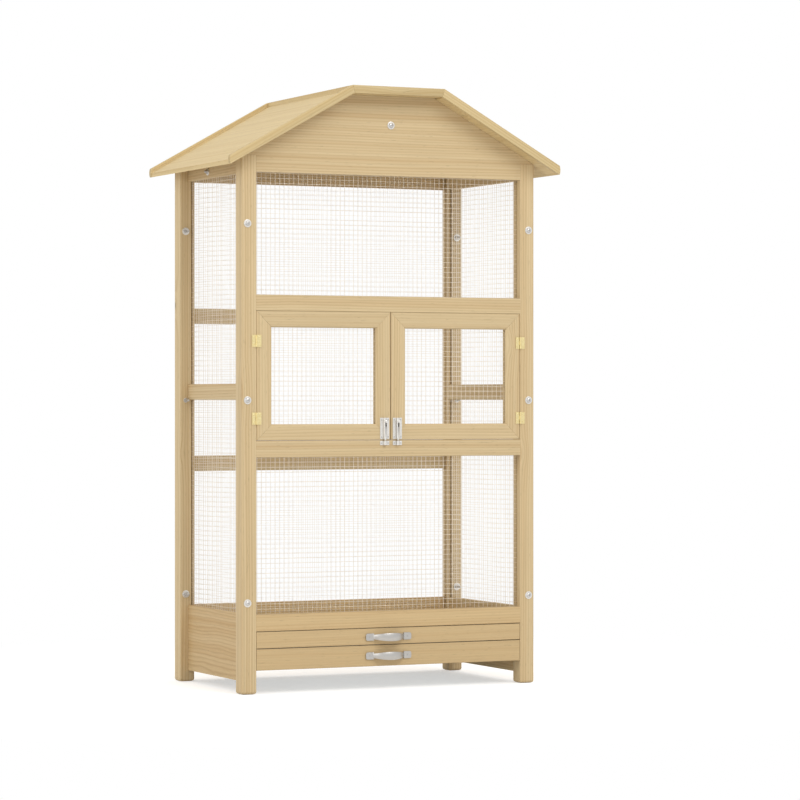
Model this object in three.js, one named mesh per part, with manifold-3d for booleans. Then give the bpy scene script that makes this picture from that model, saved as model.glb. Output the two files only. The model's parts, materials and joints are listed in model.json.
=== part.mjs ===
import * as THREE from 'three';
import { mergeVertices } from 'three/addons/utils/BufferGeometryUtils.js';
import Module from 'manifold-3d';

// A wooden aviary for parrots. Four posts carry slotted rails and boards that hold
// welded wire mesh, under a pitched roof with a flat top. The front has a pair of
// mitred doors with barrel bolts, a slide-out floor grate and a droppings tray.
//
// Millimetres. X runs to the right along the front, Y to the back and Z up. The
// origin is on the floor, under the middle of the roof.

const wasm = await Module();
wasm.setup();

// Driving dimensions

const seatGap = 0.3; // between two pieces that touch
const overrun = 4; // how far a cut runs past the face that it opens
const edgeSteps = 2; // straight steps across a rounded edge
const arcSteps = 10; // straight steps along a long curve
const roundSides = 14; // sides of a turned metal piece
const xyz = 3; // numbers to a point

// Posts, rails and boards
const cageWidth = 820;
const cageDepth = 460;
const postSize = 40;
const postEdge = 2.5;
const footEdge = 7;
const boardThickness = 18;
const boardEdge = 1.5;
const roundedRailEdge = 4;

// Heights on the front, from the floor up
const trayFrontBottom = 59;
const trayFrontHeight = 53.4;
const grateFrontHeight = 41.3;
const drawerSeam = 1.5;
const bottomRailHeight = 42.6;
const lowerRailBottom = 591;
const lowerRailHeight = 42;
const doorwayHeight = 325;
const upperRailHeight = 40;
const gableBottom = 1305;

// Heights on the sides and the back
const boardBottom = 29;
const middleRailBottom = 735;
const middleRailHeight = 41;
const backRailHeight = 40;
const backLowerRailBottom = 548.5;
const backUpperRailBottom = 934;

// Wire mesh and the slots that hold it
const wire = 1;
const slotWidth = 3.2;
const slotDepth = 8;
const faceSheetSet = 20; // from the posts' front or back face to the middle of the mesh
const sideSheetSet = 33; // from the posts' outer side face to the middle of the mesh
const sheetLap = 30; // how far the front and back mesh laps behind a rail
const meshCell = 12.7;
const cellsPerGap = 7; // real mesh cells to one gap of the model's coarser net

// Roof
const roofRise = 222; // from the gable's lower edge to the top of the roof
const roofWidth = 924;
const roofDepth = 560;
const flatWidth = 256;
const roofPitch = 29.2; // degrees
const vergeThickness = 12;
const vergeDepth = 20;
const vergeNose = 34;
const slopeThickness = 10;
const earInset = 2; // from the posts' outer face to the tip of the gable's ear
const ribThickness = 20;
const ribDepth = 90;

// Doors
const doorMember = 40.5;
const doorSideGap = 0.7;
const doorTopGap = 0.6;
const doorBottomGap = 0.5;
const doorSeam = 1.6;
const doorBevel = 3;

// Hinges
const leafWidth = 12.7;
const leafHeight = 30.5;
const leafThickness = 1.2;
const knuckleRadius = 2.4;
const pinRadius = 1.1;
const runningGap = 0.35; // between a turning or sliding metal piece and its bore
const lowerHingeInset = 54.8;
const upperHingeInset = 75.1;

// Barrel bolts
const latchWidth = 25.6;
const latchPlate = 1.2;
const latchInset = 4.2; // from the middle edge of the door to the plate
const caseLength = 54;
const caseLift = 2.1; // from the bottom edge of the door to the plate
const keeperLength = 11;
const keeperDrop = 2; // from the top of the rail to the keeper
const barrelRadius = 4.3;
const barrelSink = 0.8; // how far the barrel's round is sunk into its plate
const rodRadius = 2.5;
const rodLength = 53;
const rodLift = 1.3; // from the keeper to the tip of the drawn bolt
const knobHeight = 47.5; // from the rod's tip to the knob
const stemRadius = 1.5;
const knobRadius = 3.4;
const knobLength = 5;
const boltTravel = 12;

// Drawers
const drawerSideGap = 1;
const drawerBackGap = 12; // from the back board to a closed drawer
const runnerWidth = 10;
const runnerHeight = 10;
const runnerGap = 2; // from the tray's rim to the runner above it
const trayLift = 4.3; // from the bottom of the tray's front to its pan
const trayWall = 1.2;
const traySideGap = 3;
const grateLift = 3.4; // from the bottom of the grate's front to the grate
const grateThickness = 4;
const grateRod = 5;
const grateWire = 2;
const grateWireSpacing = 20;
const grateCrossRods = 2;
const grateSlotHeight = 4.6;

// Handles
const handleLength = 127;
const handleFoot = 21.5;
const handleReach = 25;
const handleThickness = 3;
const handleMiddleWidth = 20.5;
const handleNeckWidth = 11.5; // where the bow springs from its feet
const handleFootWidth = 18;
const handleFootCorner = 5;
const handleSet = 7.5; // the handles sit this far left of the middle
const grateHandleDrop = 1.2; // from the middle of the grate's front to its handle

// Places that follow from the sizes above

const halfWidth = cageWidth / 2;
const halfDepth = cageDepth / 2;
const innerHalfWidth = halfWidth - postSize;
const innerHalfDepth = halfDepth - postSize;
const frontSpan = 2 * (innerHalfWidth - seatGap);
const sideSpan = 2 * (innerHalfDepth - seatGap);
const faceBoardY = halfDepth - boardThickness / 2;
const sideBoardX = innerHalfWidth + boardThickness / 2;
const sheetThickness = 2 * wire;
const sheetGrip = slotDepth - seatGap;
const faceSheetY = halfDepth - faceSheetSet;
const sideSheetX = halfWidth - sideSheetSet;
const drawnGap = meshCell * cellsPerGap;

const grateFrontBottom = trayFrontBottom + trayFrontHeight + drawerSeam;
const bottomRailBottom = grateFrontBottom + grateFrontHeight + drawerSeam;
const bottomRailTop = bottomRailBottom + bottomRailHeight;
const lowerRailTop = lowerRailBottom + lowerRailHeight;
const upperRailBottom = lowerRailTop + doorwayHeight;
const upperRailTop = upperRailBottom + upperRailHeight;
const middleRailTop = middleRailBottom + middleRailHeight;

const pitch = THREE.MathUtils.degToRad(roofPitch);
const plumbDepth = vergeDepth / Math.cos(pitch);
const halfFlat = flatWidth / 2;
const roofTop = gableBottom + roofRise;
const noseBulge = vergeNose - Math.sqrt(vergeNose ** 2 - (plumbDepth / 2) ** 2);
const eaveX = roofWidth / 2 - noseBulge;
const soffitFlat = roofTop - vergeDepth;
const soffitMitreX = halfFlat - (plumbDepth - vergeDepth) / Math.tan(pitch);
const roofSpan = roofDepth - 2 * (vergeThickness + seatGap);
const postTop = soffitAt(halfWidth) - seatGap;

const axisX = innerHalfWidth;
const leafFaceY = -halfDepth - seatGap;
const axisY = leafFaceY - knuckleRadius;

// Height of the roof's upper line at a distance from the middle, on the slope
function slopeAt(x) {
  return roofTop - (x - halfFlat) * Math.tan(pitch);
}

// Height of the roof's underside at a distance from the middle, on the slope
function soffitAt(x) {
  return slopeAt(x) - plumbDepth;
}

// Each view turns a drawing to where it is seen: front is drawn in X and Z, side in
// Y and Z, plan in X and Y. The third direction is the drawing's depth.
const unitX = new THREE.Vector3(1, 0, 0);
const unitY = new THREE.Vector3(0, 1, 0);
const unitZ = new THREE.Vector3(0, 0, 1);
const views = {
  front: new THREE.Matrix4().makeBasis(unitX, unitZ, unitY.clone().negate()),
  side: new THREE.Matrix4().makeBasis(unitY, unitZ, unitX),
  plan: new THREE.Matrix4(),
};

// A drawing extruded half its depth to each side of its own plane
function prism(view, shape, depth, steps = edgeSteps) {
  const geometry = new THREE.ExtrudeGeometry(shape, {
    depth,
    bevelEnabled: false,
    curveSegments: steps,
  });
  geometry.translate(0, 0, -depth / 2);
  return geometry.applyMatrix4(views[view]);
}

function outline(points) {
  return new THREE.Shape(points.map(([x, y]) => new THREE.Vector2(x, y)));
}

function rectangle(width, height, radius = 0) {
  const x = width / 2;
  const y = height / 2;
  if (radius === 0) {
    return outline([[-x, -y], [x, -y], [x, y], [-x, y]]);
  }
  const quarter = Math.PI / 2;
  const shape = new THREE.Shape();
  shape.moveTo(-x + radius, -y);
  shape.absarc(x - radius, -y + radius, radius, -quarter, 0);
  shape.absarc(x - radius, y - radius, radius, 0, quarter);
  shape.absarc(-x + radius, y - radius, radius, quarter, 2 * quarter);
  shape.absarc(-x + radius, -y + radius, radius, 2 * quarter, 3 * quarter);
  return shape;
}

// A board or bar seen end on: width and height of the drawing, then its length
function block(view, width, height, depth, radius = 0) {
  return prism(view, rectangle(width, height, radius), depth);
}

// A round bar standing on end, centred on its length
function rod(radius, length) {
  const geometry = new THREE.CylinderGeometry(radius, radius, length, roundSides);
  return geometry.rotateX(Math.PI / 2);
}

// Solids that can be cut and joined

function solid(geometry) {
  const bare = geometry.clone();
  bare.deleteAttribute('normal');
  bare.deleteAttribute('uv');
  const merged = mergeVertices(bare);
  return new wasm.Manifold(new wasm.Mesh({
    numProp: 3,
    vertProperties: new Float32Array(merged.attributes.position.array),
    triVerts: new Uint32Array(merged.index.array),
  }));
}

function surface(shape) {
  const mesh = shape.getMesh();
  const geometry = new THREE.BufferGeometry();
  geometry.setAttribute('position', new THREE.BufferAttribute(mesh.vertProperties, 3));
  geometry.setIndex(new THREE.BufferAttribute(mesh.triVerts, 1));
  geometry.computeVertexNormals();
  return geometry;
}

function cut(geometry, ...tools) {
  return surface(tools.reduce((body, tool) => body.subtract(solid(tool)), solid(geometry)));
}

function join(geometry, ...others) {
  return surface(others.reduce((body, other) => body.add(solid(other)), solid(geometry)));
}

function common(geometry, other) {
  return surface(solid(geometry).intersect(solid(other)));
}

// Finishes

const timber = { color: '#d2b98c', roughness: 0.6, metalness: 0 };
const paleTimber = { color: '#dcc698', roughness: 0.62, metalness: 0 };
const galvanised = { color: '#d8d0c0', roughness: 0.4, metalness: 0.9 };
const brass = { color: '#e6d29a', roughness: 0.35, metalness: 1 };
const zinc = { color: '#dcd8ce', roughness: 0.38, metalness: 1 };
const satinSteel = { color: '#bebeba', roughness: 0.4, metalness: 1 };

const cage = new THREE.Group();

function piece(name, finish, geometry, x = 0, y = 0, z = 0) {
  const mesh = new THREE.Mesh(geometry, new THREE.MeshStandardMaterial(finish));
  mesh.name = name;
  mesh.position.set(x, y, z);
  cage.add(mesh);
  return mesh;
}

const sides = [['left', -1], ['right', 1]];
const ends = [['front', -1], ['back', 1]];

// Posts: square, edges eased, rounded under the foot, with a slot in each of the two
// faces that look along a wall, open at the top so that the mesh slides in

const slotBottom = bottomRailTop - sheetLap - seatGap;

function post(side, end) {
  const square = block('plan', postSize, postSize, postTop, postEdge);
  square.translate(0, 0, postTop / 2);
  const footCore = rectangle(postSize - 2 * footEdge, postSize - 2 * footEdge);
  const foot = new THREE.ExtrudeGeometry(footCore, {
    depth: postTop,
    bevelThickness: footEdge,
    bevelSize: footEdge,
    bevelSegments: edgeSteps,
  });
  foot.translate(0, 0, footEdge);
  const slotHeight = postTop - slotBottom + overrun;
  const slotReach = slotDepth + overrun;
  const slotZ = slotBottom + slotHeight / 2;
  const slotFrom = postSize / 2 - slotDepth + slotReach / 2;
  const faceSlot = block('plan', slotReach, slotWidth, slotHeight);
  faceSlot.translate(-side * slotFrom, end * (postSize / 2 - faceSheetSet), slotZ);
  const sideSlot = block('plan', slotWidth, slotReach, slotHeight);
  sideSlot.translate(side * (postSize / 2 - sideSheetSet), -end * slotFrom, slotZ);
  return cut(common(square, foot), faceSlot, sideSlot);
}

for (const [endName, end] of ends) {
  for (const [sideName, side] of sides) {
    const x = side * (halfWidth - postSize / 2);
    const y = end * (halfDepth - postSize / 2);
    piece(`${endName}_${sideName}_post`, timber, post(side, end), x, y);
  }
}

// Rails and boards of the front and the back, flush with the posts' outer faces

function faceRail(name, end, bottom, height) {
  const rail = block('side', boardThickness, height, frontSpan, boardEdge);
  piece(name, timber, rail, 0, end * faceBoardY, bottom + height / 2);
}

faceRail('front_bottom_rail', -1, bottomRailBottom, bottomRailHeight);
faceRail('front_lower_rail', -1, lowerRailBottom, lowerRailHeight);
faceRail('front_upper_rail', -1, upperRailBottom, upperRailHeight);
faceRail('back_bottom_board', 1, boardBottom, bottomRailTop - boardBottom);
faceRail('back_lower_rail', 1, backLowerRailBottom, backRailHeight);
faceRail('back_upper_rail', 1, backUpperRailBottom, backRailHeight);

// Rails and boards of the sides, flush with the posts' inner faces and slotted on
// the edges that hold the mesh

const sideSlotX = sideSheetX - sideBoardX;
const runnerTop = grateFrontBottom + grateLift - seatGap;
const trayBottom = trayFrontBottom + trayLift;
const trayRunnerTop = trayBottom - seatGap;

// A slot along the middle of a side board, its mouth at the given height
function sideSlotAt(side, mouth, upward) {
  const height = slotDepth + overrun;
  const slot = block('front', slotWidth, height, sideSpan + overrun);
  return slot.translate(side * sideSlotX, 0, mouth + upward * (slotDepth - height / 2));
}

function middleRail(side) {
  const rail = block('front', boardThickness, middleRailHeight, sideSpan, roundedRailEdge);
  const half = middleRailHeight / 2;
  return cut(rail, sideSlotAt(side, half, -1), sideSlotAt(side, -half, 1));
}

// The top rail's upper edge is planed to the roof's slope
function topRail(side) {
  const outer = boardThickness / 2;
  const rail = outline([
    [-side * outer, 0],
    [side * outer, 0],
    [side * outer, soffitAt(sideBoardX + outer) - seatGap - gableBottom],
    [-side * outer, soffitAt(sideBoardX - outer) - seatGap - gableBottom],
  ]);
  return cut(prism('front', rail, sideSpan), sideSlotAt(side, 0, 1));
}

// The bottom board carries two runners on its inner face: the lower one for the
// tray, the upper one for the floor grate
function bottomBoard(side) {
  const outer = boardThickness / 2;
  const runner = outer + runnerWidth;
  const height = bottomRailTop - boardBottom;
  const trayRunner = trayRunnerTop - boardBottom;
  const grateRunner = runnerTop - boardBottom;
  const board = outline([
    [outer, 0],
    [outer, height],
    [-outer, height],
    [-outer, grateRunner],
    [-runner, grateRunner],
    [-runner, grateRunner - runnerHeight],
    [-outer, grateRunner - runnerHeight],
    [-outer, trayRunner],
    [-runner, trayRunner],
    [-runner, trayRunner - runnerHeight],
    [-outer, trayRunner - runnerHeight],
    [-outer, 0],
  ].map(([x, z]) => [side * x, z]));
  return cut(prism('front', board, sideSpan), sideSlotAt(side, height, -1));
}

for (const [name, side] of sides) {
  const x = side * sideBoardX;
  const middleZ = middleRailBottom + middleRailHeight / 2;
  piece(`${name}_bottom_board`, timber, bottomBoard(side), x, 0, boardBottom);
  piece(`${name}_middle_rail`, timber, middleRail(side), x, 0, middleZ);
  piece(`${name}_top_rail`, timber, topRail(side), x, 0, gableBottom);
}

// Gables: a board between the posts whose ears lie on the posts' tops, cut to the
// roof's underside

function gable() {
  const inner = innerHalfWidth - seatGap;
  const earBottom = postTop + seatGap;
  const earTip = halfWidth - earInset;
  const right = [
    [inner, gableBottom],
    [inner, earBottom],
    [earTip, earBottom],
    [earTip, soffitAt(earTip) - seatGap],
    [soffitMitreX, soffitFlat - seatGap],
  ];
  const left = right.map(([x, z]) => [-x, z]).reverse();
  return prism('front', outline([...right, ...left]), boardThickness);
}

for (const [name, end] of ends) {
  piece(`${name}_gable`, timber, gable(), 0, end * faceBoardY);
}

// Roof: a verge frame with rounded noses at each end, a slope board on each side and
// a flat top board, stiffened by a rib between the gables

function verge() {
  const eaveTop = slopeAt(eaveX);
  const noseX = eaveX - (vergeNose - noseBulge);
  const noseZ = eaveTop - plumbDepth / 2;
  const swing = Math.asin(plumbDepth / 2 / vergeNose);
  const frame = new THREE.Shape();
  frame.moveTo(-eaveX, eaveTop);
  frame.lineTo(-halfFlat, roofTop);
  frame.lineTo(halfFlat, roofTop);
  frame.lineTo(eaveX, eaveTop);
  frame.absarc(noseX, noseZ, vergeNose, swing, -swing, true);
  frame.lineTo(soffitMitreX, soffitFlat);
  frame.lineTo(-soffitMitreX, soffitFlat);
  frame.lineTo(-eaveX, eaveTop - plumbDepth);
  frame.absarc(-noseX, noseZ, vergeNose, Math.PI + swing, Math.PI - swing, true);
  return prism('front', frame, vergeThickness, arcSteps);
}

for (const [name, end] of ends) {
  piece(`${name}_verge`, paleTimber, verge(), 0, end * (roofDepth - vergeThickness) / 2);
}

for (const [name, side] of sides) {
  const top = halfFlat + seatGap;
  const sunk = (vergeDepth - slopeThickness) / Math.cos(pitch);
  const slope = outline([
    [side * top, soffitAt(top)],
    [side * eaveX, soffitAt(eaveX)],
    [side * eaveX, slopeAt(eaveX) - sunk],
    [side * top, slopeAt(top) - sunk],
  ]);
  piece(`${name}_roof_slope`, paleTimber, prism('front', slope, roofSpan));
}

const topBoard = block('plan', flatWidth, roofSpan, vergeDepth);
const ribLength = 2 * (halfDepth - boardThickness - seatGap);
const ribHeight = ribDepth + vergeDepth / 2;
const rib = block('plan', ribThickness, ribLength, ribHeight);
rib.translate(0, 0, -ribHeight / 2);
const roofMiddle = roofTop - vergeDepth / 2;
piece('roof_top_board', paleTimber, join(topBoard, rib), 0, 0, roofMiddle);

// Wire mesh: a flat sheet of wires that cross at right angles. The rim wires lie in
// the slots. The gaps are drawn coarser than the real cells.

// Where wires start and end along one direction of the sheet: rim, gap, wire, gap,
// and so on to the other rim
function wireEdges(size, pitch, bar, rim) {
  const gaps = Math.max(1, Math.round(size / pitch));
  const gap = (size - 2 * rim - (gaps - 1) * bar) / gaps;
  const edges = [-size / 2];
  for (let index = 0; index < gaps; index += 1) {
    const start = -size / 2 + rim + index * (gap + bar);
    edges.push(start, start + gap);
  }
  return [...edges, size / 2];
}

function net(view, width, height, thickness, wires) {
  const xs = wireEdges(width, wires.across, wires.bar, wires.rim);
  const ys = wireEdges(height, wires.up, wires.bar, wires.rim);
  const corners = [];
  const inside = (list, index) => index >= 0 && index < list.length - 1;
  const isWire = (i, j) => inside(xs, i) && inside(ys, j) && (i % 2 === 0 || j % 2 === 0);
  const quad = (a, b, c, d) => corners.push(...a, ...b, ...c, ...a, ...c, ...d);
  const top = thickness / 2;
  for (let i = 0; i < xs.length - 1; i += 1) {
    for (let j = 0; j < ys.length - 1; j += 1) {
      if (!isWire(i, j)) continue;
      const [left, right, low, high] = [xs[i], xs[i + 1], ys[j], ys[j + 1]];
      const ring = [[left, low], [right, low], [right, high], [left, high]];
      const upper = ring.map(([x, y]) => [x, y, top]);
      const lower = ring.map(([x, y]) => [x, y, -top]);
      quad(...upper);
      quad(...lower.slice().reverse());
      const neighbours = [[i, j - 1], [i + 1, j], [i, j + 1], [i - 1, j]];
      neighbours.forEach(([nextI, nextJ], side) => {
        const after = (side + 1) % ring.length;
        if (!isWire(nextI, nextJ)) {
          quad(lower[side], lower[after], upper[after], upper[side]);
        }
      });
    }
  }
  const geometry = new THREE.BufferGeometry();
  geometry.setAttribute('position', new THREE.Float32BufferAttribute(corners, xyz));
  const sheet = mergeVertices(geometry);
  sheet.computeVertexNormals();
  return sheet.applyMatrix4(views[view]);
}

const meshWires = { across: drawnGap, up: drawnGap, bar: wire, rim: wire };
const faceNetWidth = 2 * (innerHalfWidth + sheetGrip);
const sideNetWidth = 2 * (innerHalfDepth + sheetGrip);

function faceNet(name, end, bottom, top) {
  const sheet = net('front', faceNetWidth, top - bottom, sheetThickness, meshWires);
  piece(name, galvanised, sheet, 0, end * faceSheetY, (bottom + top) / 2);
}

function sideNet(name, side, bottom, top) {
  const sheet = net('side', sideNetWidth, top - bottom, sheetThickness, meshWires);
  piece(name, galvanised, sheet, side * sideSheetX, 0, (bottom + top) / 2);
}

const faceNetBottom = bottomRailTop - sheetLap;
const faceNetTop = gableBottom + sheetLap;
faceNet('front_lower_mesh', -1, faceNetBottom, lowerRailBottom + sheetLap);
faceNet('front_upper_mesh', -1, upperRailTop - sheetLap, faceNetTop);
faceNet('back_mesh', 1, faceNetBottom, faceNetTop);
for (const [name, side] of sides) {
  sideNet(`${name}_lower_mesh`, side, bottomRailTop - sheetGrip, middleRailBottom + sheetGrip);
  sideNet(`${name}_upper_mesh`, side, middleRailTop - sheetGrip, gableBottom + sheetGrip);
}

// Doors: four mitred members round a sheet of mesh. A member is drawn lying down,
// its outer edge on the ground line, and turned about Y into its place.

const doorWidth = innerHalfWidth - doorSideGap - doorSeam / 2;
const doorBottom = lowerRailTop + doorBottomGap;
const doorTop = upperRailBottom - doorTopGap;
const doorHeight = doorTop - doorBottom;
const doorMiddleX = doorSeam / 2 + doorWidth / 2;
const doorMiddleZ = (doorTop + doorBottom) / 2;

function doorBar(length) {
  const half = boardThickness / 2;
  const section = outline([
    [half, 0],
    [half, doorMember],
    [-half + doorBevel, doorMember],
    [-half, doorMember - doorBevel],
    [-half, boardEdge],
    [-half + boardEdge, 0],
  ]);
  const mitreGap = seatGap / Math.SQRT2;
  const outer = length / 2 - mitreGap;
  const inner = outer - doorMember;
  const mitred = outline([[-outer, 0], [outer, 0], [inner, doorMember], [-inner, doorMember]]);
  const slotHeight = slotDepth + overrun;
  const slot = block('side', slotWidth, slotHeight, length);
  slot.translate(0, 0, doorMember - slotDepth + slotHeight / 2);
  return cut(common(prism('side', section, length), prism('front', mitred, boardThickness)), slot);
}

for (const [name, side] of sides) {
  const x = side * doorMiddleX;
  const places = [
    ['bottom_rail', doorWidth, x, doorBottom, 0],
    ['top_rail', doorWidth, x, doorTop, Math.PI],
    ['hinge_stile', doorHeight, x + side * doorWidth / 2, doorMiddleZ, -side * Math.PI / 2],
    ['latch_stile', doorHeight, x - side * doorWidth / 2, doorMiddleZ, side * Math.PI / 2],
  ];
  for (const [part, length, placeX, placeZ, turn] of places) {
    const bar = piece(`${name}_door_${part}`, timber, doorBar(length), placeX, -faceBoardY, placeZ);
    bar.rotation.y = turn;
  }
  const sheetInset = 2 * (doorMember - sheetGrip);
  const sheetWidth = doorWidth - sheetInset;
  const sheetHeight = doorHeight - sheetInset;
  const sheet = net('front', sheetWidth, sheetHeight, sheetThickness, meshWires);
  piece(`${name}_door_mesh`, galvanised, sheet, x, -faceBoardY, doorMiddleZ);
}

// Hinges: two flat leaves on the faces of the post and the door. The post's leaf has
// the outer knuckles and the pin, the door's leaf the middle knuckle. A leaf is drawn
// round the hinge's axis, reaching outwards in the direction of its sign.

const knuckleHeight = leafHeight / 3;

function leaf(sign, knuckles, bored) {
  const plateStart = knuckleRadius + runningGap;
  const plateWidth = leafWidth - plateStart;
  const plateY = knuckleRadius - leafThickness / 2;
  const plate = block('plan', plateWidth, leafThickness, leafHeight);
  plate.translate(sign * (plateStart + plateWidth / 2), plateY, 0);
  const length = knuckleHeight - runningGap;
  const parts = knuckles.flatMap((level) => {
    const z = level * knuckleHeight;
    const tab = block('plan', plateStart + overrun, leafThickness, length);
    tab.translate(sign * (plateStart + overrun) / 2, plateY, z);
    return [tab, rod(knuckleRadius, length).translate(0, 0, z)];
  });
  const pin = rod(bored ? pinRadius + runningGap : pinRadius, leafHeight - runningGap);
  return bored ? cut(join(plate, ...parts), pin) : join(plate, ...parts, pin);
}

const hingeLevels = [
  ['lower', doorBottom + lowerHingeInset],
  ['upper', doorTop - upperHingeInset],
];
for (const [name, side] of sides) {
  for (const [level, z] of hingeLevels) {
    const x = side * axisX;
    piece(`${name}_${level}_hinge_post_leaf`, brass, leaf(side, [-1, 1], false), x, axisY, z);
    piece(`${name}_${level}_hinge_door_leaf`, brass, leaf(-side, [0], true), x, axisY, z);
  }
}

// Barrel bolts: a plate with a bored barrel on the door, a keeper on the rail below,
// and a rod whose knob slides in a slot of the barrel

const latchX = doorSeam / 2 + latchInset + latchWidth / 2;
const barrelY = leafFaceY - latchPlate - barrelRadius + barrelSink;
const plateOffset = leafFaceY - latchPlate / 2 - barrelY;
const keeperTop = lowerRailTop - keeperDrop;
const caseBottom = doorBottom + caseLift;
const rodTip = keeperTop + rodLift;
const knobZ = rodTip + knobHeight;

// A plate with a barrel standing on it, bored for the rod, its bottom at zero
function boredPlate(length) {
  const plate = block('plan', latchWidth, latchPlate, length);
  plate.translate(0, plateOffset, length / 2);
  const barrel = rod(barrelRadius, length).translate(0, 0, length / 2);
  const bore = rod(rodRadius + runningGap, length + overrun).translate(0, 0, length / 2);
  return cut(join(plate, barrel), bore);
}

function latchCase() {
  const slotHalf = stemRadius + runningGap;
  const slotHeight = boltTravel + 2 * slotHalf;
  const slotReach = barrelRadius + overrun;
  const slot = block('plan', 2 * slotHalf, slotReach, slotHeight);
  slot.translate(0, -slotReach / 2, knobZ - caseBottom - boltTravel / 2);
  return cut(boredPlate(caseLength), slot);
}

function latchBolt() {
  const bar = rod(rodRadius, rodLength).translate(0, 0, rodLength / 2);
  const knobStart = barrelRadius + runningGap;
  const knobEnd = knobStart + knobLength;
  const knobEase = knobRadius - stemRadius;
  const turned = [
    [0, 0],
    [stemRadius, 0],
    [stemRadius, knobStart],
    [knobRadius, knobStart + knobEase / 2],
    [knobRadius, knobEnd - knobEase / 2],
    [stemRadius, knobEnd],
    [0, knobEnd],
  ].map(([x, y]) => new THREE.Vector2(x, y));
  const knob = new THREE.LatheGeometry(turned, roundSides).rotateX(Math.PI);
  return join(bar, knob.translate(0, 0, knobHeight));
}

for (const [name, side] of sides) {
  const x = side * latchX;
  const keeperBottom = keeperTop - keeperLength;
  piece(`${name}_latch_case`, zinc, latchCase(), x, barrelY, caseBottom);
  piece(`${name}_latch_bolt`, zinc, latchBolt(), x, barrelY, rodTip);
  piece(`${name}_latch_keeper`, zinc, boredPlate(keeperLength), x, barrelY, keeperBottom);
}

// Handles: a bow of strip bent out from two flat feet with rounded corners. The bow
// is widest in the middle.

function handle() {
  const half = handleLength / 2;
  const springing = half - handleFoot;
  const rise = handleReach - handleThickness;
  const radius = (springing ** 2 + rise ** 2) / (2 * rise);
  const swing = Math.asin(springing / radius);
  const inside = Math.PI / 2 - swing;
  const centre = handleReach - handleThickness - radius;
  const outerRadius = radius + handleThickness;
  const strip = new THREE.Shape();
  strip.moveTo(-half, 0);
  strip.absarc(0, centre, radius, Math.PI - inside, inside, true);
  strip.lineTo(half, 0);
  strip.lineTo(half, handleThickness);
  const outerSwing = Math.acos((handleThickness - centre) / outerRadius);
  const outside = Math.PI / 2 - outerSwing;
  strip.absarc(0, centre, outerRadius, outside, Math.PI - outside, false);
  strip.lineTo(-half, handleThickness);
  const bow = prism('plan', strip, handleMiddleWidth, arcSteps).rotateX(Math.PI);
  const neck = handleNeckWidth / 2;
  const foot = handleFootWidth / 2;
  const cornerX = half - handleFootCorner;
  const cornerY = foot - handleFootCorner;
  const quarter = Math.PI / 2;
  const plate = new THREE.Shape();
  plate.moveTo(-springing, -neck);
  plate.quadraticCurveTo(0, neck - handleMiddleWidth, springing, -neck);
  plate.lineTo(springing, -foot);
  plate.absarc(cornerX, -cornerY, handleFootCorner, -quarter, 0);
  plate.absarc(cornerX, cornerY, handleFootCorner, 0, quarter);
  plate.lineTo(springing, foot);
  plate.lineTo(springing, neck);
  plate.quadraticCurveTo(0, handleMiddleWidth - neck, -springing, neck);
  plate.lineTo(-springing, foot);
  plate.absarc(-cornerX, cornerY, handleFootCorner, quarter, 2 * quarter);
  plate.absarc(-cornerX, -cornerY, handleFootCorner, 2 * quarter, 3 * quarter);
  plate.lineTo(-springing, -foot);
  const plateDepth = 2 * (handleReach + overrun);
  return common(bow, prism('front', plate, plateDepth, arcSteps));
}

const handleY = -halfDepth - seatGap;

// Drawers: a front board with a handle, in front of the floor grate and of the tray

const drawerFrontWidth = 2 * (innerHalfWidth - drawerSideGap);
const drawerBack = halfDepth - boardThickness - drawerBackGap;
const frontInnerY = -halfDepth + boardThickness;

function drawerFront(height) {
  return block('side', boardThickness, height, drawerFrontWidth, boardEdge);
}

function grateFront() {
  const reach = slotDepth + overrun;
  const slot = block('side', reach, grateSlotHeight, drawerFrontWidth + overrun);
  const z = grateLift + grateThickness / 2 - grateFrontHeight / 2;
  slot.translate(0, boardThickness / 2 - slotDepth + reach / 2, z);
  return cut(drawerFront(grateFrontHeight), slot);
}

const grateMiddle = grateFrontBottom + grateFrontHeight / 2;
piece('grate_drawer_front', timber, grateFront(), 0, -faceBoardY, grateMiddle);
const grateHandleZ = grateMiddle - grateHandleDrop;
piece('grate_drawer_handle', satinSteel, handle(), -handleSet, handleY, grateHandleZ);
const grateStart = frontInnerY - slotDepth + seatGap;
const grateLength = drawerBack - grateStart;
const grateWidth = 2 * (innerHalfWidth - traySideGap);
const grateWires = {
  across: grateWireSpacing,
  up: grateLength / (grateCrossRods + 1),
  bar: grateWire,
  rim: grateRod,
};
const grateSheet = net('plan', grateWidth, grateLength, grateThickness, grateWires);
const grateZ = grateFrontBottom + grateLift + grateThickness / 2;
piece('floor_grate', galvanised, grateSheet, 0, grateStart + grateLength / 2, grateZ);

const trayMiddle = trayFrontBottom + trayFrontHeight / 2;
piece('tray_drawer_front', timber, drawerFront(trayFrontHeight), 0, -faceBoardY, trayMiddle);
piece('tray_drawer_handle', satinSteel, handle(), -handleSet, handleY, trayMiddle);

function trayPan() {
  const width = 2 * (innerHalfWidth - traySideGap);
  const length = drawerBack - frontInnerY - seatGap;
  const height = runnerTop - runnerHeight - runnerGap - trayBottom;
  const outside = block('plan', width, length, height);
  const inside = block('plan', width - 2 * trayWall, length - 2 * trayWall, height);
  outside.translate(0, length / 2, height / 2);
  return cut(outside, inside.translate(0, length / 2, height / 2 + trayWall));
}

piece('droppings_tray', galvanised, trayPan(), 0, frontInnerY + seatGap, trayBottom);

export default cage;
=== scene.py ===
# %% [markdown]
# # A wooden parrot cage
#
# The real cage is a flat-pack aviary: planed spruce posts and rails bolted together,
# half-inch welded mesh held in slots, two mitred doors with butt hinges and barrel
# bolts, a slide-out floor grate and a droppings tray, under a pitched roof.
#
# The solids come from the CAD model, already in place and in metres. This script
# gives them what that model leaves out: eased edges, grain, wire, screws and light.

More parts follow.
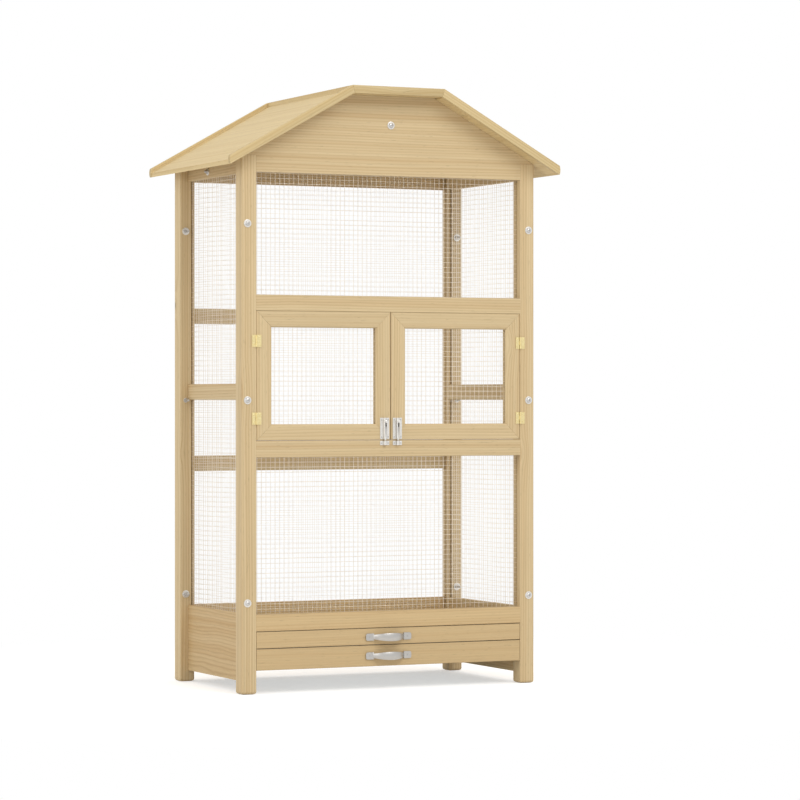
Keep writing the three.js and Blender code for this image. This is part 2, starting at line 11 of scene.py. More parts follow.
# %% Load the frame
import json
import math
import random

import bmesh
import bpy
from mathutils import Matrix, Vector


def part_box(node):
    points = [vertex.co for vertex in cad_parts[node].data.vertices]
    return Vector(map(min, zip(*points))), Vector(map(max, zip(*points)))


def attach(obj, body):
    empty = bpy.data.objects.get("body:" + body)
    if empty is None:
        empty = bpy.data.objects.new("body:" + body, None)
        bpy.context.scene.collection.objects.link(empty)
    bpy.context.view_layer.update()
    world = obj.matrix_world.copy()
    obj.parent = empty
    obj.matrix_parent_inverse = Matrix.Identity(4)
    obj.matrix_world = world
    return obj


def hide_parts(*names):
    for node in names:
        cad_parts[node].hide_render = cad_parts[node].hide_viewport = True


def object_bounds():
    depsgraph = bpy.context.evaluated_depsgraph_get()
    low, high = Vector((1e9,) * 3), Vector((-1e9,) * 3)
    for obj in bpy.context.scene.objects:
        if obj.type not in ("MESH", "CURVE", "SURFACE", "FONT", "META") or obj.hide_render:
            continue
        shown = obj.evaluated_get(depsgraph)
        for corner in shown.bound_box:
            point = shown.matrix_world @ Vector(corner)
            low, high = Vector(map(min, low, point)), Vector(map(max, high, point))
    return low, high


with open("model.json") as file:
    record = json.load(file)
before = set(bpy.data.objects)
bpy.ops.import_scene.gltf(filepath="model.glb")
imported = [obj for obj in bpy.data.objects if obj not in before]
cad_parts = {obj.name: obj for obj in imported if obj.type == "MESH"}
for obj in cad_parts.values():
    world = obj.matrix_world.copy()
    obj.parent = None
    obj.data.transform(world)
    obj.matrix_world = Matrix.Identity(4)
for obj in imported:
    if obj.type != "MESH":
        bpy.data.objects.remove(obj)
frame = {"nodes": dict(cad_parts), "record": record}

cad_box = [list(corner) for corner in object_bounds()]
nodes = frame["nodes"]
behaviour = frame["record"]["behaviour"]
body_of = {node: body for body, members in behaviour["bodies"].items() for node in members}
MM = 0.001


def placed(name, data):
    """A new object of the scene with this data."""
    thing = bpy.data.objects.new(name, data)
    bpy.context.scene.collection.objects.link(thing)
    return thing


print(len(nodes), "solids in", sorted(set(body_of.values())))

# %% [markdown]
# ## Camera
#
# The photograph was taken from far away with a long lens, level with the middle of
# the cage and 25 degrees to its left. A camera placed nearer with a wider lens would
# make the roof splay, so the distance matters more than the framing. The numbers come
# from matching the corners of the posts and the roof by least squares.

# %% Camera
camera = placed("camera", bpy.data.cameras.new("camera"))
camera.data.sensor_width = 36
camera.data.lens = 144.162
camera.location = (-3.4598, -7.6103, 0.7404)
camera.rotation_euler = (math.radians(89.96), 0, math.radians(-25.28))
bpy.context.scene.camera = camera
bpy.context.scene.view_settings.view_transform = "Standard"
middle = (Vector(cad_box[0]) + Vector(cad_box[1])) / 2
print("camera", round((camera.location - middle).length, 2), "m away")

# %% [markdown]
# ## Helpers for nodes and colours
#
# Shaders and Geometry Nodes are built the same way: a node, its settings, and what
# goes into its sockets. One function does all of it, so each material and each tree
# reads as a list of what is connected to what. The short ones after it write sums,
# vectors and ramps in one line each. Colours are written as the sRGB hex values that
# a colour picker shows, and one function turns them to the linear light that shaders
# work in.

# %% Node and colour helpers
def add(tree, kind, sockets=None, **settings):
    node = tree.nodes.new(kind)
    for name, value in settings.items():
        setattr(node, name, value)
    for key, value in (sockets or {}).items():
        for item in value if isinstance(value, list) else [value]:
            if isinstance(item, bpy.types.NodeSocket):
                tree.links.new(item, node.inputs[key])
            else:
                node.inputs[key].default_value = item
    return node


def maths(tree, operation, *values, kind="ShaderNodeMath", **settings):
    node = add(tree, kind, dict(enumerate(values)), operation=operation, **settings)
    return node.outputs[0]


def times(tree, first, second, **settings):
    return maths(tree, "MULTIPLY", first, second, **settings)


def half(tree, value):
    return times(tree, value, 0.5)


def vector_maths(tree, operation, *values):
    return maths(tree, operation, *values, kind="ShaderNodeVectorMath")


def length_of(tree, value):
    return add(tree, "ShaderNodeVectorMath", {0: value}, operation="LENGTH").outputs["Value"]


def vector(tree, **parts):
    return add(tree, "ShaderNodeCombineXYZ", parts).outputs[0]


def linear(colour):
    channels = [int(colour[start:start + 2], 16) / 255 for start in (1, 3, 5)]
    curved = [c / 12.92 if c <= 0.04045 else ((c + 0.055) / 1.055) ** 2.4 for c in channels]
    return (*curved, 1.0)


def ramp(tree, factor, stops):
    """Colour Ramp from pairs of position and grey level or hex colour."""
    node = add(tree, "ShaderNodeValToRGB", {"Fac": factor})
    elements = node.color_ramp.elements
    while len(elements) < len(stops):
        elements.new(0.5)
    for element, (position, level) in zip(elements, stops):
        element.position = position
        element.color = linear(level) if isinstance(level, str) else (level, level, level, 1)
    return node.outputs["Color"]


def new_material(name):
    material = bpy.data.materials.new(name)
    material.use_nodes = True
    material.node_tree.nodes.clear()
    return material, material.node_tree


print("spruce front is", [round(c, 3) for c in linear("#d2b98c")[:3]], "in linear light")

# %% [markdown]
# ## Planed spruce
#
# Softwood grows a pale, soft layer in spring and a thin, darker, harder one in late
# summer. A board shows where a flat cut passes through those nested cylinders, so
# grain painted on each face would never meet at the edges. Here the wood is solid: every
# board carries, as an attribute on its corners, where it lay in its log, with X along
# the trunk and the pith at Y = Z = 0. One material draws the rings in that space, and
# faces, edges and end grain agree by themselves.
#
# A growth ring is 7 mm wide here. That is coarse for spruce, but it is what shows in
# the photograph, where a pixel is 2.6 mm.

# %% Spruce material
RING = 7 * MM       # width of a growth ring
DRIFT = 9 * MM      # how far rings wander from a true circle
FIBRE = 1.4 * MM    # width of the finest streaks that still show
FLECK = 2.2 * MM    # width of the short resin dashes
KNOT = 150 * MM     # usual distance between knots, across the grain
BENDS = 13.0        # bends of the rings in a metre, so one in 77 mm
SPELLS = 55.0       # spells of good and bad years in a metre, so one in 18 mm


def noise(tree, place, stretch, scale=1.0, detail=1.0):
    """Noise over a place that is scaled along its axes."""
    space = add(tree, "ShaderNodeMapping", {"Vector": place, "Scale": stretch})
    return add(tree, "ShaderNodeTexNoise",
               {"Vector": space.outputs[0], "Scale": scale, "Detail": detail})


def mixed(tree, share, first, second):
    return add(tree, "ShaderNodeMix", {"Factor": share, 6: first, 7: second},
               data_type="RGBA").outputs[2]


def planed_spruce(name, spring, summer, heart, contrast):
    material, tree = new_material(name)
    log = add(tree, "ShaderNodeAttribute", attribute_name="log").outputs["Vector"]
    tone = add(tree, "ShaderNodeAttribute", attribute_name="tone").outputs["Fac"]
    figure = add(tree, "ShaderNodeAttribute", attribute_name="figure").outputs["Fac"]

    # The trunk isn't a true cylinder: a slow noise, stretched along it, bends the rings
    wander = noise(tree, log, (0.07, 1, 1), BENDS, 2.0).outputs["Color"]
    centred = vector_maths(tree, "SUBTRACT", wander, (0.5, 0.5, 0.5))
    bent = vector_maths(tree, "MULTIPLY_ADD", centred, (0, 2 * DRIFT, 2 * DRIFT), log)

    # Rings swerve round a few small knots
    knot_space = add(tree, "ShaderNodeMapping", {"Vector": log, "Scale": (0.45, 1, 1)})
    knots = add(tree, "ShaderNodeTexVoronoi",
                {"Vector": knot_space.outputs[0], "Scale": 1 / KNOT, "Randomness": 1.0})
    near_knot = ramp(tree, knots.outputs["Distance"], [(0.02, 1), (0.13, 0.25), (0.3, 0)])
    swerve = vector_maths(tree, "MULTIPLY_ADD", near_knot, (0, 2.2 * RING, 1.4 * RING), bent)

    # A wave of scale 1 has a period of pi / 10 metres
    rings = add(tree, "ShaderNodeTexWave",
                {"Vector": swerve, "Scale": math.pi / 10 / RING},
                wave_type="RINGS", rings_direction="X", wave_profile="SAW")
    late = ramp(tree, rings.outputs["Fac"],
                [(0, 0.2), (0.12, 0), (0.5, 0.12), (0.84, 1), (1, 0.3)])

    # Wide and narrow years, and the streaks of heartwood that come with them
    across = vector_maths(tree, "MULTIPLY", swerve, (0, 1, 1))
    years = add(tree, "ShaderNodeTexNoise",
                {"W": length_of(tree, across), "Scale": SPELLS, "Detail": 2.0},
                noise_dimensions="1D").outputs["Fac"]
    strong = times(tree, late, years)
    drawn = times(tree, strong, figure)
    share = times(tree, drawn, contrast, use_clamp=True)
    ringed = mixed(tree, share, linear(spring), linear(summer))
    warm = ramp(tree, years, [(0.42, 0), (0.7, 0.55)])
    warmed = times(tree, warm, figure, use_clamp=True)
    streaked = mixed(tree, warmed, ringed, linear(heart))

    # Fibres and resin dashes run along the trunk
    fibres = noise(tree, log, (6, 1 / FIBRE, 1 / FIBRE), detail=3.0).outputs["Fac"]
    dashes = noise(tree, log, (45, 1 / FLECK, 1 / FLECK)).outputs["Fac"]
    worked = vector_maths(tree, "MULTIPLY", ramp(tree, fibres, [(0.25, 0.86), (0.75, 1.0)]),
                          ramp(tree, dashes, [(0.66, 1.0), (0.78, 0.8)]))
    grained = vector_maths(tree, "MULTIPLY", streaked, worked)
    core = ramp(tree, knots.outputs["Distance"], [(0.015, 0.55), (0.04, 1.0)])
    knotted = vector_maths(tree, "MULTIPLY", grained, core)
    toned = add(tree, "ShaderNodeVectorMath", {0: knotted, "Scale": tone}, operation="SCALE")

    # The planer leaves the hard summer wood a little proud and a little shinier
    relief = maths(tree, "ADD", late, fibres)
    bump = add(tree, "ShaderNodeBump", {"Strength": 0.35, "Distance": 0.15 * MM,
                                        "Height": relief})
    wood = add(tree, "ShaderNodeBsdfPrincipled",
               {"Base Color": toned.outputs[0], "Normal": bump.outputs[0], "IOR": 1.45,
                "Roughness": ramp(tree, relief, [(0.3, 0.66), (1.0, 0.54)]),
                "Specular IOR Level": 0.35})
    add(tree, "ShaderNodeOutputMaterial", {"Surface": wood.outputs[0]})
    return material


spruce = planed_spruce("planed_spruce", "#d8c197", "#b08f5f", "#c7a87a", 0.85)
# A warmer copy of the spruce: on the bottom boards it is painted warm bounce light in their
# shade; on the drawer fronts and the front bottom rail it is only warmer.
warm_spruce = planed_spruce("planed_spruce_warm", "#dabe8f", "#b28d5a", "#c9a573", 0.85)
pale_spruce = planed_spruce("planed_spruce_roof", "#dfc897", "#c4a56f", "#d1b580", 1.0)
print("made", spruce.name, warm_spruce.name, "and", pale_spruce.name)

# %% [markdown]
# ## Boards
#
# A solid from CAD has perfect edges, which no saw or planer leaves. Each board is a
# merged copy of its solid with 0.6 mm taken off its edges, or 0.1 mm where another
# board stands close: the highlights along them and the fine V where two boards meet
# come from that. More would draw the joints too dark. Weighted normals keep the wide
# faces flat in the shading. The Bevel is evaluated here and then gone, so that the
# place in the log can be written on the corners of the finished mesh.
#
# The solids keep a gap at every joint. Where the photograph shows no dark line there,
# the end of the board is moved a little nearer to its neighbour before it is eased.

# %% Board helpers
EASE = 0.6 * MM
HAIR = 0.1 * MM      # for boards that stand close to the next one
NEAR = 0.25 * MM     # the two corners of a mitred end are this close
AXES = {"X": Vector((1, 0, 0)), "Y": Vector((0, 1, 0)), "Z": Vector((0, 0, 1))}


def solid_copy(node):
    """The node's solid with its triangles merged back to flat faces."""
    shape = bmesh.new()
    shape.from_mesh(nodes[node].data)
    bmesh.ops.remove_doubles(shape, verts=shape.verts, dist=0.001 * MM)
    bmesh.ops.dissolve_limit(shape, angle_limit=math.radians(0.5), verts=shape.verts,
                             edges=shape.edges)
    return shape


def fitted(shape, moves):
    """Moves flat ends of a shape, each given as its axis, its place and how far."""
    for letter, place, move in moves:
        axis = "XYZ".index(letter)
        for vertex in shape.verts:
            if abs(vertex.co[axis] - place) < NEAR:
                vertex.co[axis] += move
    return shape


def smooth_by_angle(mesh, degrees):
    mesh.polygons.foreach_set("use_smooth", [True] * len(mesh.polygons))
    mesh.set_sharp_from_angle(angle=math.radians(degrees))


def made_plain(maker):
    """An object's mesh as its modifiers leave it. The object itself is removed."""
    depsgraph = bpy.context.evaluated_depsgraph_get()
    mesh = bpy.data.meshes.new_from_object(maker.evaluated_get(depsgraph), depsgraph=depsgraph)
    bpy.data.objects.remove(maker)
    return mesh


def eased(shape, width, segments=2, sharp=30, weighted=True):
    """Bevels the shape's edges, smooth all round unless weighted: a plain mesh."""
    mesh = bpy.data.meshes.new("shape")
    shape.to_mesh(mesh)
    shape.free()
    smooth_by_angle(mesh, 75 if weighted else 180)
    maker = placed("maker", mesh)
    bevel = maker.modifiers.new("ease", "BEVEL")
    bevel.width = width
    bevel.segments = segments
    bevel.limit_method = "ANGLE"
    bevel.angle_limit = math.radians(sharp)
    if weighted:
        maker.modifiers.new("flat", "WEIGHTED_NORMAL").keep_sharp = True
    result = made_plain(maker)
    bpy.data.meshes.remove(mesh)
    return result


def joined(name, meshes, degrees):
    """One mesh made of several, smooth over edges up to this angle."""
    shape = bmesh.new()
    for mesh in meshes:
        shape.from_mesh(mesh)
        bpy.data.meshes.remove(mesh)
    whole = bpy.data.meshes.new(name)
    shape.to_mesh(whole)
    shape.free()
    smooth_by_angle(whole, degrees)
    return whole


def finished(name, mesh, body, material=None, replaced=()):
    """Turns a mesh into a piece that rides on a body and stands for CAD nodes."""
    mesh.name = name
    if material:
        mesh.materials.clear()
        mesh.materials.append(material)
    piece = placed(name, mesh)
    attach(piece, body)
    if replaced:
        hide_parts(*replaced)
    return piece


print("edges are eased by", EASE / MM, "mm")

# %% [markdown]
# ## Where a board lay in its log
#
# The direction of the grain and the face that looks outwards are known. What is left
# is chance: how far the pith is from the middle of the board and on which side. To
# the side of the board, the face shows straight even lines. Behind it, the face shows
# the wide arches of a flat-sawn board. A small tilt lets the lines run out of the
# edges. Each board also gets its own tone, and its end grain, which drinks up more
# light, is darker.
#
# Four more numbers tell boards apart: how strongly the rings show, how wide they
# grew, how much they wave along the trunk, and how much painted shade darkens the
# narrow edges, so that the seams between boards read dark. They are attributes or a
# scaling of the place in the log, so one material serves all boards.

# %% Place in the log
END_GRAIN = 0.13     # how much darker end grain is than a face


def lay_in_log(mesh, grain, outward, cut, tone, luck, tilt=0.6, figure=1.0, growth=1.0,
               wave=1.0, sawn=0.0):
    """Writes log, tone and figure on the corners of a mesh."""
    for label, kind in (("log", "FLOAT_VECTOR"), ("tone", "FLOAT"), ("figure", "FLOAT")):
        mesh.attributes.new(label, kind, "CORNER")
    log, shade = mesh.attributes["log"], mesh.attributes["tone"]
    mesh.attributes["figure"].data.foreach_set("value", [figure] * len(mesh.loops))
    side = outward.cross(grain)
    middle = sum((vertex.co for vertex in mesh.vertices), Vector()) / len(mesh.vertices)
    if cut == "flat":
        swing, distance = luck.uniform(-20, 20), luck.uniform(35, 60) * MM
    else:
        swing, distance = 90 + luck.uniform(-18, 18), luck.uniform(80, 150) * MM
    pith = (math.sin(math.radians(swing)) * side - math.cos(math.radians(swing)) * outward)
    pith *= distance * luck.choice((-1, 1) if cut == "quarter" else (1,))
    to_log = Matrix((grain, side, outward)).to_4x4() @ Matrix.Translation(-(middle + pith))
    lean = [math.radians(luck.uniform(-tilt, tilt)) for _ in range(2)]
    to_log = Matrix.Rotation(lean[0], 4, "Y") @ Matrix.Rotation(lean[1], 4, "Z") @ to_log
    to_log = Matrix.Translation((luck.uniform(0, 40), 0, 0)) @ to_log
    to_log = Matrix.Diagonal((wave, 1 / growth, 1 / growth, 1)) @ to_log
    # End grain is darker, and painted shade darkens the narrow edges so that seams read dark.
    for polygon in mesh.polygons:
        level = tone * (1 - END_GRAIN * abs(polygon.normal.dot(grain))
                        - sawn * abs(polygon.normal.dot(side)))
        for corner in polygon.loop_indices:
            point = mesh.vertices[mesh.loops[corner].vertex_index].co
            log.data[corner].vector = to_log @ point
            shade.data[corner].value = level


def board(node, grain, outward, cut="quarter", tone=1.0, wood=spruce, slot="timber",
          ease=EASE, fit=(), **lay):
    """Turns a solid into a planed board, with its own tone and place in a log."""
    mesh = eased(fitted(solid_copy(node), fit), ease)
    luck = random.Random(node)
    tone *= luck.uniform(0.98, 1.02)
    lay_in_log(mesh, AXES[grain], Vector(outward), cut, tone, luck, **lay)
    return finished(f"{node}_planed", mesh, body_of[node], wood, [node])


FRONT, BACK, UP = (0, -1, 0), (0, 1, 0), (0, 0, 1)
OUT = {"left": (-1, 0, 0), "right": (1, 0, 0)}
print("boards face", FRONT, BACK, UP)

# %% [markdown]
# ## Posts, rails and boards of the frame
#
# Posts, rails and gables are sawn with the rings on edge and show straight lines, the
# gables more faintly. In the photograph the bottom boards at the sides come from a
# tree with wide, wavy rings, so theirs are waved along the trunk. The one at the back
# is flat-sawn. The bottom boards, the front bottom rail and the drawer fronts take a
# warmer copy of the spruce. On the bottom boards that warmth is painted warm bounce
# light in their shade, and the one at the back is painted lighter as well. The drawer
# fronts are calm and a little darker than the rails above them, and the front rails
# get a little darker towards the bottom. Painted shade on the narrow edges of front
# rails and drawer fronts makes the seams between them dark. The back gable is painted
# a little lighter, for its shaded inner face.
#
# The front rails and the front gable meet the posts without a dark line. The posts'
# edges are rounded, so the ends go on past the solids' ends, into the roundings.

# %% Frame boards
LET_IN = 1.3 * MM            # how far ends go on into the posts' rounded edges
DRAWER_NEARER = 0.85 * MM    # how much nearer drawer fronts come to the left post
# Painted shade on the narrow edges of front rails and drawer fronts, so the seams between them
# read dark.
SEAM_SHADE = 0.25                  # how much darker narrow edges are than faces
low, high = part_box("front_lower_rail")
BETWEEN_POSTS = (("X", low.x, -LET_IN), ("X", high.x, LET_IN))
DRAWER_FIT = (("X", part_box("tray_drawer_front")[0].x, -DRAWER_NEARER),)

for side in OUT:
    for end, outward in (("front", FRONT), ("back", BACK)):
        board(f"{end}_{side}_post", "Z", outward, tone=1.01, tilt=0.3, ease=HAIR)
    board(f"{side}_bottom_board", "Y", OUT[side], tone=0.91, wood=warm_spruce, tilt=3,
          figure=1.4, growth=1.1, wave=4)
    board(f"{side}_middle_rail", "Y", OUT[side])
    board(f"{side}_top_rail", "Y", OUT[side])
for rail, tone, wood, figure in (("bottom", 0.955, warm_spruce, 0.6),
                                 ("lower", 0.97, spruce, 0.9), ("upper", 0.985, spruce, 1.0)):
    board(f"front_{rail}_rail", "X", FRONT, tone=tone, wood=wood, figure=figure, ease=HAIR,
          sawn=SEAM_SHADE, fit=BETWEEN_POSTS)
for rail in ("back_lower_rail", "back_upper_rail"):
    board(rail, "X", BACK, tone=0.97)
# Painted light: the back bottom board is made warmer and lighter for the bounce light inside
# the cage.
board("back_bottom_board", "X", BACK, "flat", 1.12, warm_spruce, tilt=1.0)
board("front_gable", "X", FRONT, tone=0.97, tilt=0.3, figure=0.85, ease=HAIR,
      fit=BETWEEN_POSTS)
# Painted light: the back gable is made a little lighter for its shaded inner face.
board("back_gable", "X", BACK, tone=1.04, tilt=0.3, figure=0.85, ease=HAIR)
for drawer in ("grate", "tray"):
    board(f"{drawer}_drawer_front", "X", FRONT, tone=0.9, wood=warm_spruce, tilt=0.4,
          figure=0.3, sawn=SEAM_SHADE, fit=DRAWER_FIT)

# %% [markdown]
# ## Doors
#
# Each door is a mitred frame of four members, so the grain turns the corner at 45
# degrees. The CAD members already meet at their mitres with a hair's gap. With their
# edges eased, the joint reads as the thin dark line that the photograph shows. The
# gaps over both doors and beside the left one's hinges are narrower in the photograph
# than in CAD, and the edges there are moved to match.

# %% Door frames
DOOR_FIT = (("X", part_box("left_door_hinge_stile")[0].x, -0.5 * MM),
            ("Z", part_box("left_door_top_rail")[1].z, 0.45 * MM))
for side in OUT:
    for member, tone, figure in (("bottom_rail", 0.975, 0.55), ("top_rail", 0.94, 0.45)):
        board(f"{side}_door_{member}", "X", FRONT, tone=tone, figure=figure, ease=HAIR,
              fit=DOOR_FIT)
    for member in ("hinge_stile", "latch_stile"):
        board(f"{side}_door_{member}", "Z", FRONT, figure=0.8, ease=HAIR, fit=DOOR_FIT)
print("8 door members")

# %% [markdown]
# ## Roof
#
# The slopes and the flat top are wide boards laid from front to back. The bargeboard
# at each end is one solid in CAD and three lengths of wood in life, mitred where the
# pitch changes. It is cut along those two mitres here, because grain that ran on round
# a corner would give it away as a single casting. The level length at the top is the
# darkest of the three, as in the photograph.

# %% Roof boards
PITCH = math.radians(29.2)
for side, lean in (("left", -1), ("right", 1)):
    board(f"{side}_roof_slope", "Y", (lean * math.sin(PITCH), 0, math.cos(PITCH)), "flat",
          0.98, pale_spruce, "roof_timber", tilt=0.5, ease=HAIR)
board("roof_top_board", "Y", UP, "flat", 0.98, pale_spruce, "roof_timber", tilt=0.5,
      ease=HAIR)

MITRE_TOP = Vector((128 * MM, 0, 1527 * MM))
MITRE_BOTTOM = Vector((122.8 * MM, 0, 1507 * MM))
MITRE_GAP = 0.15 * MM


def cut_away(shape, point, normal):
    """Removes what lies beyond a plane and closes the cut."""
    everything = shape.verts[:] + shape.edges[:] + shape.faces[:]
    cut = bmesh.ops.bisect_plane(shape, geom=everything, plane_co=point, plane_no=normal,
                                 clear_outer=True)
    edges = [part for part in cut["geom_cut"] if isinstance(part, bmesh.types.BMEdge)]
    bmesh.ops.edgenet_fill(shape, edges=edges)


def bargeboard(end, outward):
    """Cuts one verge at its mitres: the lower lengths are places -1 and 1, the top is 0."""
    node = f"{end}_verge"
    lengths = []
    luck = random.Random(node)
    for place in (-1, 0, 1):
        shape = solid_copy(node)
        for side in (place,) if place else (-1, 1):
            top = Vector((side * MITRE_TOP.x, 0, MITRE_TOP.z))
            along = top - Vector((side * MITRE_BOTTOM.x, 0, MITRE_BOTTOM.z))
            away = AXES["Y"].cross(along).normalized() * side
            if place == side:
                away = -away
            cut_away(shape, top - away * MITRE_GAP, away)
        bmesh.ops.recalc_face_normals(shape, faces=shape.faces)
        mesh = eased(shape, HAIR)
        grain = Vector((math.cos(PITCH), 0, -place * math.sin(PITCH)))
        lay_in_log(mesh, grain if place else AXES["X"], outward, "quarter",
                   luck.uniform(0.88, 0.92) if place else 0.84, luck)
        lengths.append(mesh)
    return finished(f"{node}_planed", joined(node, lengths, 40), "cage",
                    pale_spruce, [node])


for end, outward in (("front", FRONT), ("back", BACK)):
    piece = bargeboard(end, Vector(outward))
    print(piece.name, len(piece.data.polygons), "faces")

# %% [markdown]
# ## Metals
#
# Six finishes, all on steel. Galvanised wire is dipped in zinc: a light grey, a little
# uneven, with a painted warm tint that stands for the wood reflected in it. Galvanised
# sheet shows the crystals of its zinc, cells about 10 mm wide that differ in tone and
# gloss. Bright zinc plate on latches and washers is almost white and smooth; on the
# heads of bolts and screws it is duller. The nuts take that duller, darker zinc as
# painted shade for their shadowed sides. Brass plate on the hinges is a pale yellow.
# The handles are satin nickel, brushed along their length.
#
# What a metal shows is mostly its surroundings, so each gets a small change of
# roughness over its surface, which breaks up the reflections, and no more.

# %% Metal materials
def plated_metal(name, colour, shade, roughness, spread, grit, stretch=(1, 1, 1),
                 pattern="ShaderNodeTexNoise"):
    """Metal whose tone and gloss vary with a pattern of a given size."""
    material, tree = new_material(name)
    place = add(tree, "ShaderNodeTexCoord").outputs["Object"]
    space = add(tree, "ShaderNodeMapping", {"Vector": place, "Scale": stretch})
    texture = add(tree, pattern, {"Vector": space.outputs[0], "Scale": 1 / grit})
    if pattern == "ShaderNodeTexVoronoi":
        level = add(tree, "ShaderNodeSeparateColor",
                    {"Color": texture.outputs["Color"]}).outputs["Red"]
    else:
        level = texture.outputs["Fac"]
    gloss = ramp(tree, level, [(0.2, roughness - spread), (0.8, roughness + spread)])
    bump = add(tree, "ShaderNodeBump", {"Strength": 0.2, "Distance": 0.05 * MM,
                                        "Height": level})
    metal = add(tree, "ShaderNodeBsdfPrincipled",
                {"Base Color": ramp(tree, level, [(0.25, shade), (0.75, colour)]),
                 "Metallic": 1.0, "Roughness": gloss, "Normal": bump.outputs[0]})
    add(tree, "ShaderNodeOutputMaterial", {"Surface": metal.outputs[0]})
    return material


# Light zinc with a painted warm tint, which stands for the wood reflected in the wire.
galvanised_wire_painted_warm = plated_metal("hot_dip_galvanised_wire", "#f9f1e4", "#ece3d4", 0.36, 0.06,
                               6 * MM)
galvanised_sheet = plated_metal("galvanised_sheet_spangled", "#c6c8c7", "#b4b7b6", 0.4, 0.05,
                                10 * MM, pattern="ShaderNodeTexVoronoi")
bright_zinc = plated_metal("bright_zinc_plate", "#e9e7e3", "#d6d3cd", 0.34, 0.06, 3 * MM)
grey_zinc = plated_metal("zinc_plate_dull", "#d2d0cd", "#b9b7b4", 0.36, 0.06, 2 * MM)
brass_plate = plated_metal("brass_plate", "#efe0ae", "#e3cf93", 0.36, 0.04, 4 * MM)
satin_nickel = plated_metal("satin_nickel_brushed", "#bbb8b4", "#b3b1ad", 0.4, 0.03, 1 * MM,
                            stretch=(0.03, 1, 1))
print("made 6 metal finishes")

# %% [markdown]
# ## Geometry Nodes that end as plain meshes
#
# Wires, washers and screws repeat, so each kind is one node tree with named inputs
# for its sizes. The tree runs on a throw-away object, and the evaluated result is
# copied out as an ordinary mesh, because the finished model can't carry instances.
# An input is found by its name once, here, and set by its identifier.

# %% Tree helpers
def new_tree(name, *sizes, source=None):
    """A tree whose inputs are a source mesh, if named, these sizes and a finish."""
    tree = bpy.data.node_groups.new(name, "GeometryNodeTree")
    inputs = {source: "Geometry"} if source else {}
    inputs.update({size: "Float" for size in sizes}, Finish="Material")
    for label, kind in inputs.items():
        tree.interface.new_socket(name=label, in_out="INPUT", socket_type=f"NodeSocket{kind}")
    tree.interface.new_socket(name="Mesh", in_out="OUTPUT", socket_type="NodeSocketGeometry")
    entry = tree.nodes.new("NodeGroupInput")
    return tree, {label: entry.outputs[label] for label in inputs}


def close_tree(tree, given, geometry):
    real = add(tree, "GeometryNodeRealizeInstances", {"Geometry": geometry})
    painted = add(tree, "GeometryNodeSetMaterial",
                  {"Geometry": real.outputs[0], "Material": given["Finish"]})
    add(tree, "NodeGroupOutput", {0: painted.outputs[0]})
    return tree


def thickened(tree, curves, sides, radius):
    """Curves as solid rods with this many sides."""
    section = add(tree, "GeometryNodeCurvePrimitiveCircle",
                  {"Resolution": sides, "Radius": radius})
    return add(tree, "GeometryNodeCurveToMesh",
               {"Curve": curves, "Profile Curve": section.outputs[0],
                "Fill Caps": True}).outputs[0]


def grown(tree, values, seed=None):
    """Runs a tree with these input values and returns a plain mesh."""
    maker = placed("maker", seed or bpy.data.meshes.new("seed"))
    modifier = maker.modifiers.new("nodes", "NODES")
    modifier.node_group = tree
    for item in tree.interface.items_tree:
        if item.in_out == "INPUT" and item.name in values:
            modifier[item.identifier] = values[item.name]
    return made_plain(maker)


print("helpers ready")

# %% [markdown]
# ## Welded wire mesh
#
# Half-inch mesh is two layers of thin wire, welded where they cross: uprights in
# front, level wires behind. As one flat pattern it would lose the little shadows at
# the crossings. Each layer starts as a row of points, one to a wire, and a line is
# placed on each. All lines pass through the same slow noise, because a real sheet is
# never quite flat, and are given their thickness last, six faces round, since there
# are hundreds.

# %% Wire mesh tree
CELL = 12.7 * MM
WIRE = 0.8 * MM
WELD = 0.1 * MM      # how far the two layers sink into each other
BUCKLE = 0.25 * MM   # how far the sheet strays from flat
BUCKLES = 7.0        # buckles in a metre, so one in 140 mm


def layer(tree, cell, length, spread, along_x, lift):
    """Parallel wires of one layer, spaced over the sheet's other direction."""
    gaps = maths(tree, "FLOOR", maths(tree, "DIVIDE", spread, cell))
    first = times(tree, times(tree, gaps, cell), -0.5)
    back = times(tree, length, -0.5)
    start_x, start_y = (back, first) if along_x else (first, back)
    step_key, end_key = ("Y", "X") if along_x else ("X", "Y")
    row = add(tree, "GeometryNodeMeshLine",
              {"Count": maths(tree, "ADD", gaps, 1.0),
               "Start Location": vector(tree, X=start_x, Y=start_y, Z=lift),
               "Offset": vector(tree, **{step_key: cell})})
    line = add(tree, "GeometryNodeCurvePrimitiveLine",
               {"End": vector(tree, **{end_key: length})})
    fine = add(tree, "GeometryNodeResampleCurve",
               {"Curve": line.outputs[0], "Length": 3 * CELL}, mode="LENGTH")
    wires = add(tree, "GeometryNodeInstanceOnPoints",
                {"Points": row.outputs[0], "Instance": fine.outputs[0]})
    return add(tree, "GeometryNodeRealizeInstances", {"Geometry": wires.outputs[0]}).outputs[0]


